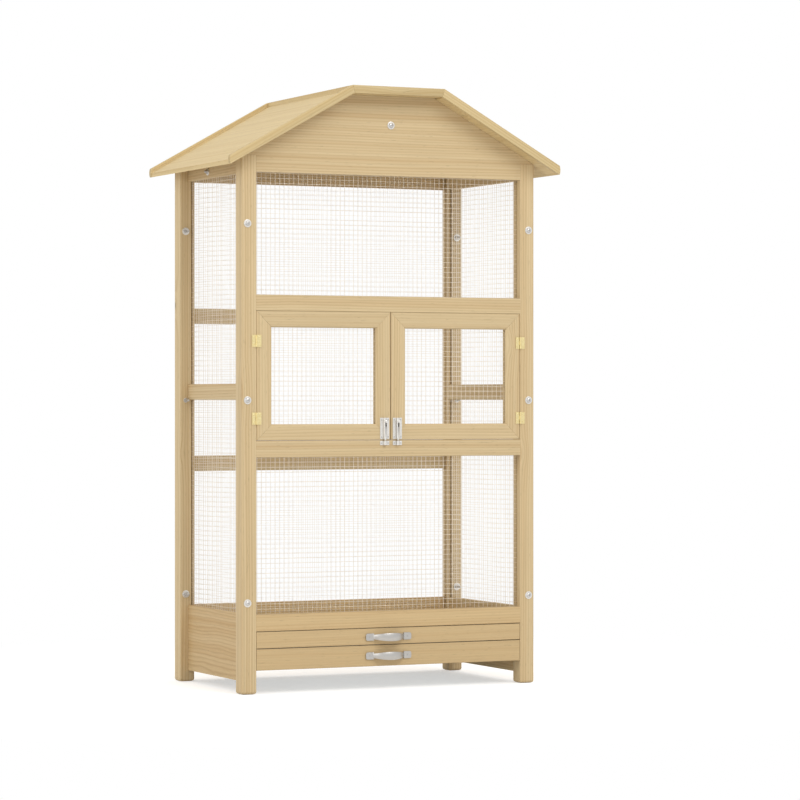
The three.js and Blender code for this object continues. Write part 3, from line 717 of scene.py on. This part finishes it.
def wire_mesh_tree():
    tree, given = new_tree("welded_wire_mesh", "Width", "Height", "Cell", "Wire", "Weld",
                           "Buckle")
    width, height, cell = given["Width"], given["Height"], given["Cell"]
    radius = half(tree, given["Wire"])
    before = maths(tree, "SUBTRACT", radius, given["Weld"])
    behind = times(tree, before, -1.0)
    both = add(tree, "GeometryNodeJoinGeometry",
               {0: [layer(tree, cell, height, width, False, before),
                    layer(tree, cell, width, height, True, behind)]})
    here = add(tree, "GeometryNodeInputPosition")
    slow = add(tree, "ShaderNodeTexNoise",
               {"Vector": here.outputs[0], "Scale": BUCKLES, "Detail": 1.0})
    sway = maths(tree, "SUBTRACT", slow.outputs["Fac"], 0.5)
    rise = times(tree, times(tree, sway, given["Buckle"]), 2.0)
    swayed = add(tree, "GeometryNodeSetPosition",
                 {"Geometry": both.outputs[0], "Offset": vector(tree, Z=rise)})
    return close_tree(tree, given, thickened(tree, swayed.outputs[0], 6, radius))


wire_mesh = wire_mesh_tree()
print("mesh tree has", len(wire_mesh.nodes), "nodes")

# %% [markdown]
# ## Sheets in their slots
#
# Each sheet is as large as the CAD net that stands in for it, and takes its place.
# The tree draws the sheet lying down. A turn stands it up along the front or along a
# side, as the net's own box tells: it is thinnest across the sheet.

# %% Place the sheets
TURNS = (
    Matrix(((0, 0, 1), (1, 0, 0), (0, 1, 0))),      # thin along X: a side
    Matrix(((1, 0, 0), (0, 0, -1), (0, 1, 0))),     # thin along Y: front or back
    Matrix.Identity(3),                             # thin along Z: the floor
)


def wire_sheet(node, margin=0.0):
    low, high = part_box(node)
    thin = min(range(3), key=lambda axis: high[axis] - low[axis])
    turn = TURNS[thin]
    size = turn.transposed() @ (high - low)
    width, height = abs(size.x) - 2 * margin, abs(size.y) - 2 * margin
    mesh = grown(wire_mesh, {"Width": width, "Height": height, "Cell": CELL, "Wire": WIRE,
                             "Weld": WELD, "Buckle": BUCKLE, "Finish": galvanised_wire_painted_warm})
    mesh.transform(Matrix.Translation((low + high) / 2) @ turn.to_4x4())
    smooth_by_angle(mesh, 70)
    return mesh


faces = 0
for node in sorted(nodes):
    if node.endswith("_mesh"):
        mesh = wire_sheet(node)
        finished(f"{node}_wires", mesh, body_of[node], replaced=[node])
        faces += len(mesh.polygons)
print("wire mesh:", faces, "faces")

# %% [markdown]
# ## Floor grate
#
# The grate is the same mesh in a frame of 4 mm rod with rounded corners, stiffened by
# two more rods across it. A rod bent to a path is what Curve to Mesh is for, and a
# second small tree makes the frame: a rectangle with its corners filleted.

# %% Grate
ROD = 4 * MM
CORNER = 12 * MM


def rod_frame_tree():
    tree, given = new_tree("rod_frame", "Width", "Length", "Rod", "Corner")
    width = maths(tree, "SUBTRACT", given["Width"], given["Rod"])
    length = maths(tree, "SUBTRACT", given["Length"], given["Rod"])
    path = add(tree, "GeometryNodeCurvePrimitiveQuadrilateral",
               {"Width": width, "Height": length})
    bent_path = add(tree, "GeometryNodeFilletCurve",
                    {"Curve": path.outputs[0], "Count": 6, "Radius": given["Corner"]},
                    mode="POLY")
    rods = [bent_path.outputs[0]]
    right = half(tree, width)
    left = times(tree, right, -1.0)
    for share in (-1 / 6, 1 / 6):
        y = times(tree, length, share)
        rods.append(add(tree, "GeometryNodeCurvePrimitiveLine",
                        {"Start": vector(tree, X=left, Y=y),
                         "End": vector(tree, X=right, Y=y)}).outputs[0])
    whole = add(tree, "GeometryNodeJoinGeometry", {0: rods})
    solid = thickened(tree, whole.outputs[0], 12, half(tree, given["Rod"]))
    return close_tree(tree, given, solid)


low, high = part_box("floor_grate")
surround = grown(rod_frame_tree(), {"Width": high.x - low.x, "Length": high.y - low.y,
                                    "Rod": ROD, "Corner": CORNER, "Finish": galvanised_wire_painted_warm})
surround.transform(Matrix.Translation((low + high) / 2))
grid = wire_sheet("floor_grate", margin=ROD / 2)
finished("floor_grate_wires", joined("floor_grate_wires", [surround, grid], 60),
         "grate_drawer", galvanised_wire_painted_warm, ["floor_grate"])
print("grate", [round(v / MM) for v in high - low], "mm")

# %% [markdown]
# ## Metal fittings
#
# Hinges, barrel bolts, handles and the tray have the right shapes already. As with
# the boards, a merged copy with eased edges takes the place of each, because light
# catches metal along its edges first. The handles are pressed, and their bow is
# cambered: a wide chamfer in one step, shaded smooth across the strip, gives the
# bright line along the top edge. Their feet lie flat on the wood and stay flat.

# %% Fittings
STAMPED = 0.25 * MM     # edges of hinges and latches
FOLDED = 0.3 * MM       # edges of the tray
CAMBER = 1.3 * MM       # chamfer of the handles
HANDLE_X, BOW_HALF = -7.5 * MM, 43 * MM


def fitting(node, ease, material, sharp=35, steps=3):
    mesh = eased(solid_copy(node), ease, steps, sharp, weighted=steps > 1)
    return finished(f"{node}_plated", mesh, body_of[node], material, [node])


for side in OUT:
    for level in ("lower", "upper"):
        for leaf in ("post_leaf", "door_leaf"):
            fitting(f"{side}_{level}_hinge_{leaf}", STAMPED, brass_plate)
    for part in ("case", "bolt", "keeper"):
        fitting(f"{side}_latch_{part}", STAMPED, bright_zinc)
for drawer in ("grate", "tray"):
    handle = fitting(f"{drawer}_drawer_handle", CAMBER, satin_nickel, 40, 1)
    mesh = handle.data
    for edge in mesh.edges:
        reach = min(abs(mesh.vertices[corner].co.x - HANDLE_X) for corner in edge.vertices)
        edge.use_edge_sharp = reach > BOW_HALF
fitting("droppings_tray", FOLDED, galvanised_sheet, 40)
print("17 fittings dressed")

# %% [markdown]
# ## Bolts, nuts, washers and screws
#
# The frame is bolted with 6 mm furniture bolts: a domed head with a hexagon socket on
# a wide washer outside, a nut on a washer inside. Hinges, latches and handles have
# small screws with a cross recess. Each fastener is a spot with a direction. A tree
# makes one fastener and puts a copy on every spot, turned to face outwards, and by a
# random angle about its own axis, since nobody lines them up.

# %% Fastener trees
def place_copies(tree, given, one):
    """Puts a copy on each spot and closes the tree."""
    facing, turned = [add(tree, "GeometryNodeInputNamedAttribute", {"Name": label},
                          data_type="FLOAT_VECTOR").outputs[0]
                      for label in ("facing", "turned")]
    first = add(tree, "FunctionNodeEulerToRotation", {0: turned})
    aim = add(tree, "FunctionNodeAlignRotationToVector",
              {"Rotation": first.outputs[0], "Vector": facing}, axis="Z")
    copies = add(tree, "GeometryNodeInstanceOnPoints",
                 {"Points": given["Spots"], "Instance": one, "Rotation": aim.outputs[0]})
    return close_tree(tree, given, copies.outputs[0])


def raised(tree, geometry, height):
    return add(tree, "GeometryNodeTransform",
               {"Geometry": geometry, "Translation": vector(tree, Z=height)}).outputs[0]


def prism(tree, corners, radius, depth):
    return add(tree, "GeometryNodeMeshCylinder",
               {"Vertices": corners, "Radius": radius, "Depth": depth}).outputs["Mesh"]


def dome(tree, radius, height, lift):
    """A closed dome standing on a flat base at the given height."""
    ball = add(tree, "GeometryNodeMeshUVSphere", {"Segments": 24, "Rings": 12, "Radius": 1.0})
    shaped = add(tree, "GeometryNodeTransform",
                 {"Geometry": ball.outputs[0],
                  "Scale": vector(tree, X=radius, Y=radius, Z=height)})
    spot = add(tree, "ShaderNodeSeparateXYZ",
               {0: add(tree, "GeometryNodeInputPosition").outputs[0]})
    base = maths(tree, "MAXIMUM", spot.outputs["Z"], 0.0)
    flat = vector(tree, X=spot.outputs["X"], Y=spot.outputs["Y"],
                  Z=maths(tree, "ADD", base, lift))
    return add(tree, "GeometryNodeSetPosition",
               {"Geometry": shaped.outputs[0], "Position": flat}).outputs[0]


def head_tree(name, cross):
    tree, given = new_tree(name, "Head radius", "Head height", "Recess radius",
                           "Recess depth", "Lift", source="Spots")
    recess = given["Recess radius"]
    head = dome(tree, given["Head radius"], given["Head height"], given["Lift"])
    crown = maths(tree, "ADD", given["Head height"], given["Lift"])
    depth = times(tree, given["Recess depth"], 2.0)
    if cross:
        long, thin = times(tree, recess, 2.0), half(tree, recess)
        tools = [add(tree, "GeometryNodeMeshCube",
                     {"Size": vector(tree, X=x, Y=y, Z=depth)}).outputs[0]
                 for x, y in ((long, thin), (thin, long))]
    else:
        tools = [prism(tree, 6, recess, depth)]
    driven = add(tree, "GeometryNodeMeshBoolean",
                 {"Mesh 1": head, "Mesh 2": [raised(tree, tool, crown) for tool in tools]},
                 operation="DIFFERENCE")
    return place_copies(tree, given, driven.outputs["Mesh"])


def washer_tree():
    tree, given = new_tree("washers", "Outer radius", "Bore radius", "Thickness",
                           source="Spots")
    outer, bore, thickness = (given[size] for size in ("Outer radius", "Bore radius",
                                                       "Thickness"))
    mean = half(tree, maths(tree, "ADD", outer, bore))
    path = add(tree, "GeometryNodeCurvePrimitiveCircle", {"Resolution": 40, "Radius": mean})
    section = add(tree, "GeometryNodeCurvePrimitiveQuadrilateral",
                  {"Width": maths(tree, "SUBTRACT", outer, bore), "Height": thickness})
    rounded = add(tree, "GeometryNodeFilletCurve",
                  {"Curve": section.outputs[0], "Count": 2,
                   "Radius": times(tree, thickness, 0.3)}, mode="POLY")
    ring = add(tree, "GeometryNodeCurveToMesh",
               {"Curve": path.outputs[0], "Profile Curve": rounded.outputs[0]})
    return place_copies(tree, given, raised(tree, ring.outputs[0], half(tree, thickness)))


def nut_tree():
    """A nut on its washer, with the end of the bolt standing out of it."""
    tree, given = new_tree("nuts_on_bolt_ends", "Corner radius", "Height", "Bolt radius",
                           "Bolt end", "Lift", source="Spots")
    corner, height, lift = given["Corner radius"], given["Height"], given["Lift"]
    radius, end = given["Bolt radius"], given["Bolt end"]
    chamfer = add(tree, "GeometryNodeMeshUVSphere",
                  {"Segments": 32, "Rings": 16,
                   "Radius": times(tree, corner, 1.06)})
    blank = add(tree, "GeometryNodeMeshBoolean",
                {"Mesh 2": [prism(tree, 6, corner, height), chamfer.outputs["Mesh"]]},
                operation="INTERSECT")
    nut = raised(tree, blank.outputs["Mesh"], maths(tree, "ADD", lift, half(tree, height)))
    top = maths(tree, "ADD", lift, height)
    bolt = raised(tree, prism(tree, 24, radius, end), maths(tree, "ADD", top, half(tree, end)))
    tip = dome(tree, radius, times(tree, radius, 0.4),
               maths(tree, "ADD", top, end))
    whole = add(tree, "GeometryNodeJoinGeometry", {0: [nut, bolt, tip]})
    return place_copies(tree, given, whole.outputs[0])


socket_heads = head_tree("socket_bolt_heads", False)
cross_heads = head_tree("cross_screw_heads", True)
washers, nuts = washer_tree(), nut_tree()
print("4 fastener trees")

# %% [markdown]
# ## Where the fasteners go
#
# The posts' bolts run from front to back near the outer corner, at the heights of the
# rails they hold: read from the photograph on the left posts, and mirrored. One bolt
# in the middle of each gable enters the roof's rib. One on each side holds the top
# rail, with its nut outside. The posts' bolts come out on the inner side as nuts, and
# their threads stand out 15 mm beyond them. The middle ones come out so near the side
# rails that only a small washer fits.

# %% Fastener spots
def spots(places):
    """Points that carry a direction and a random turn, from pairs in millimetres."""
    mesh = bpy.data.meshes.new("spots")
    mesh.from_pydata([Vector(place) * MM for place, _ in places], [], [])
    luck = random.Random(len(places))
    for label, values in (("facing", [direction for _, direction in places]),
                          ("turned", [(0, 0, luck.uniform(0, math.pi)) for _ in places])):
        attribute = mesh.attributes.new(label, "FLOAT_VECTOR", "POINT")
        attribute.data.foreach_set("vector", [v for vector in values for v in vector])
    return mesh


def fasteners(name, tree, places, body, finish, sizes):
    """A fastener of these sizes, in millimetres, on each of the places."""
    values = {label: size * MM for label, size in sizes.items()}
    mesh = grown(tree, {**values, "Finish": finish}, spots(places))
    smooth_by_angle(mesh, 35)
    return finished(name, mesh, body)


# Places and sizes in millimetres
POST_FACE = 230          # posts' front and back faces
POST_INSIDE = 190        # posts' faces that look at each other
BOLT_X = 394.6           # from the middle of the cage
BOLT_LEVELS = (228, 734, 1175)
GABLE_BOLT = 1433
SIDE_FACE = 388          # outer faces of the top rails
SIDE_BOLT_Y, SIDE_BOLT_Z = 50, 1322
WASHER = 1.6             # thickness of a washer
WIDE, SMALL = 10, 6.4    # radii of washers
outer_spots, inner_spots = [], []
for x in (-BOLT_X, BOLT_X):
    for z in BOLT_LEVELS:
        outer_spots += [((x, -POST_FACE, z), FRONT), ((x, POST_FACE, z), BACK)]
        inner_spots += [((x, -POST_INSIDE, z), BACK), ((x, POST_INSIDE, z), FRONT)]
outer_spots += [((0, -POST_FACE, GABLE_BOLT), FRONT), ((0, POST_FACE, GABLE_BOLT), BACK)]
side_spots = [((out[0] * SIDE_FACE, SIDE_BOLT_Y, SIDE_BOLT_Z), out) for out in OUT.values()]

beside_rail = [spot for spot in inner_spots if spot[0][2] == BOLT_LEVELS[1]]
wide = [spot for spot in outer_spots + inner_spots + side_spots if spot not in beside_rail]
for kind, spot_list, reach in (("wide", wide, WIDE), ("small", beside_rail, SMALL)):
    fasteners(f"carcase_washers_{kind}", washers, spot_list, "cage", bright_zinc,
              {"Outer radius": reach, "Bore radius": 3.2, "Thickness": WASHER})
fasteners("carcase_bolt_heads", socket_heads, outer_spots, "cage", grey_zinc,
          {"Head radius": 6.6, "Head height": 3.6, "Recess radius": 2.3, "Recess depth": 2.2,
           "Lift": WASHER})
nut_sizes = {"Corner radius": 5.6, "Height": 5, "Bolt radius": 2.9, "Lift": WASHER}
# The nuts take the duller, darker zinc: painted shade for their shadowed sides.
for place, spot_list, bolt_end in (("inner", inner_spots, 15), ("side", side_spots, 2)):
    fasteners(f"carcase_nuts_{place}", nuts, spot_list, "cage", grey_zinc,
              {**nut_sizes, "Bolt end": bolt_end})
print(len(outer_spots), "heads and", len(inner_spots + side_spots), "nuts")

# %% [markdown]
# ## Screws of the fittings
#
# Two screws hold each hinge leaf, four each latch and two each keeper, and one sits
# in each foot of a handle. They ride with the part that they hold down.

# %% Screws
PLATE_FACE = -231.5      # outer face of hinge leaves and latch plates
HINGE_X, HINGE_LEVELS = 370, (688.3, 882.3)
LEAF_MIDDLE = 7.9        # from a hinge's pin to the middle of a leaf
LEAF_SCREW = 9.5         # from there up and down to its screws
LATCH_X, LATCH_LEVELS, KEEPER_LEVEL = 17.8, (641, 684.5), 625.5
LATCH_SCREW = 9.2        # from a latch's middle to its screws
HANDLE_FOOT = -233.3     # outer face of the handles' feet
FOOT_REACH = 53          # from the middle of a handle to its screws
HANDLE_LEVELS = {"grate": 133.35, "tray": 85.7}
screw_sizes = {"Head radius": 2.1, "Head height": 0.8, "Recess radius": 1.2,
               "Recess depth": 0.55, "Lift": -0.05}
handle_sizes = {**screw_sizes, "Head radius": 3.2, "Head height": 0.9,
                "Recess radius": 1.6, "Recess depth": 0.7}


def screws(name, body, finish, places, sizes=screw_sizes):
    fasteners(name, cross_heads, [(place, FRONT) for place in places], body, finish,
              sizes)
    return len(places)


count = 0
for side, sign in (("left", -1), ("right", 1)):
    door = f"{side}_door"
    for owner, body, reach in (("cage", "cage", 1), ("door", door, -1)):
        places = [(sign * (HINGE_X + reach * LEAF_MIDDLE), PLATE_FACE, z + step)
                  for z in HINGE_LEVELS for step in (-LEAF_SCREW, LEAF_SCREW)]
        count += screws(f"{side}_hinge_screws_{owner}", body, brass_plate, places)
    for part, body, levels in (("latch", door, LATCH_LEVELS),
                               ("keeper", "cage", (KEEPER_LEVEL,))):
        places = [(sign * LATCH_X + step, PLATE_FACE, z) for z in levels
                  for step in (-LATCH_SCREW, LATCH_SCREW)]
        count += screws(f"{side}_{part}_screws", body, grey_zinc, places)
for drawer, z in HANDLE_LEVELS.items():
    places = [(HANDLE_X / MM + reach, HANDLE_FOOT, z) for reach in (-FOOT_REACH, FOOT_REACH)]
    count += screws(f"{drawer}_handle_screws", f"{drawer}_drawer",
                    satin_nickel, places, handle_sizes)
print(count, "screws")

# %% [markdown]
# ## Floor, background and light
#
# The photograph is a cut-out on white. The floor is pale and matt near the cage, so
# that it keeps the shadow, and fades by distance to the same white as the world,
# which hides the horizon. Only rays from the camera, reflections and glass see that
# white. What lights the object is a dimmer, even sky and two large soft lamps, set so
# that a colour renders about as it is written: more light would bleach the wood.

# %% Stage
NEAR_FLOOR, FAR_FLOOR = 0.5, 1.6    # metres: pale up to the first, white past the second
FLOOR_RADIUS = 30
FLOOR_LIFT = 0.42                   # brings the pale floor near to white for the camera
SKY = 0.84
WHITE = (1, 1, 1, 1)


def glow(tree, strength, kind="ShaderNodeEmission"):
    return add(tree, kind, {"Color": WHITE, "Strength": strength}).outputs[0]


def either(tree, share, first, second):
    """Two shaders mixed: the second one where the share is 1."""
    return add(tree, "ShaderNodeMixShader", {0: share, 1: first, 2: second}).outputs[0]


def seen_by(tree):
    """1 for rays from the camera and in reflections, and the node with all kinds."""
    rays = add(tree, "ShaderNodeLightPath").outputs
    return maths(tree, "MAXIMUM", rays["Is Camera Ray"], rays["Is Glossy Ray"]), rays


def floor_material():
    material, tree = new_material("floor_pale_matt")
    place = add(tree, "ShaderNodeTexCoord").outputs["Object"]
    fade = add(tree, "ShaderNodeMapRange",
               {"Value": length_of(tree, place), "From Min": NEAR_FLOOR,
                "From Max": FAR_FLOOR}).outputs[0]
    seen, _ = seen_by(tree)
    matt = add(tree, "ShaderNodeBsdfDiffuse", {"Color": linear("#e6e5e3")}).outputs[0]
    lift = either(tree, seen, glow(tree, 0.0), glow(tree, FLOOR_LIFT))
    near = add(tree, "ShaderNodeAddShader", {0: matt, 1: lift}).outputs[0]
    surface = either(tree, times(tree, fade, seen), near, glow(tree, 1.0))
    add(tree, "ShaderNodeOutputMaterial", {"Surface": surface})
    return material


disc = bmesh.new()
bmesh.ops.create_circle(disc, cap_ends=True, segments=96, radius=FLOOR_RADIUS)
floor_mesh = bpy.data.meshes.new("floor")
disc.to_mesh(floor_mesh)
disc.free()
floor_mesh.materials.append(floor_material())
placed("floor", floor_mesh)

world = bpy.data.worlds.new("studio")
bpy.context.scene.world = world
world.use_nodes = True
sky = world.node_tree
sky.nodes.clear()
seen, rays = seen_by(sky)
seen_too = maths(sky, "MAXIMUM", seen, rays["Is Transmission Ray"])
backdrop = either(sky, seen_too, glow(sky, SKY, "ShaderNodeBackground"),
                  glow(sky, 1.0, "ShaderNodeBackground"))
add(sky, "ShaderNodeOutputWorld", {"Surface": backdrop})
print("stage set")

# %% Lamps
def soft_lamp(name, place, target, size, power):
    lamp = placed(name, bpy.data.lights.new(name, "AREA"))
    lamp.data.shape = "DISK"
    lamp.data.size = size
    lamp.data.energy = power
    lamp.location = place
    aim = Vector(target) - Vector(place)
    lamp.rotation_euler = aim.to_track_quat("-Z", "Y").to_euler()


MIDDLE = (0, 0, 0.8)
soft_lamp("key", (0.6, -4.2, 4.6), MIDDLE, 3.2, 100)
soft_lamp("fill", (-4.5, -1.5, 2.2), MIDDLE, 3.0, 42)
print("2 lamps")

# %% [markdown]
# ## Size
#
# The dressed cage has to fill the same box as the CAD model, give or take a bolt
# head. The CAD box is printed.

# %% Sizes
print("CAD box", cad_box)
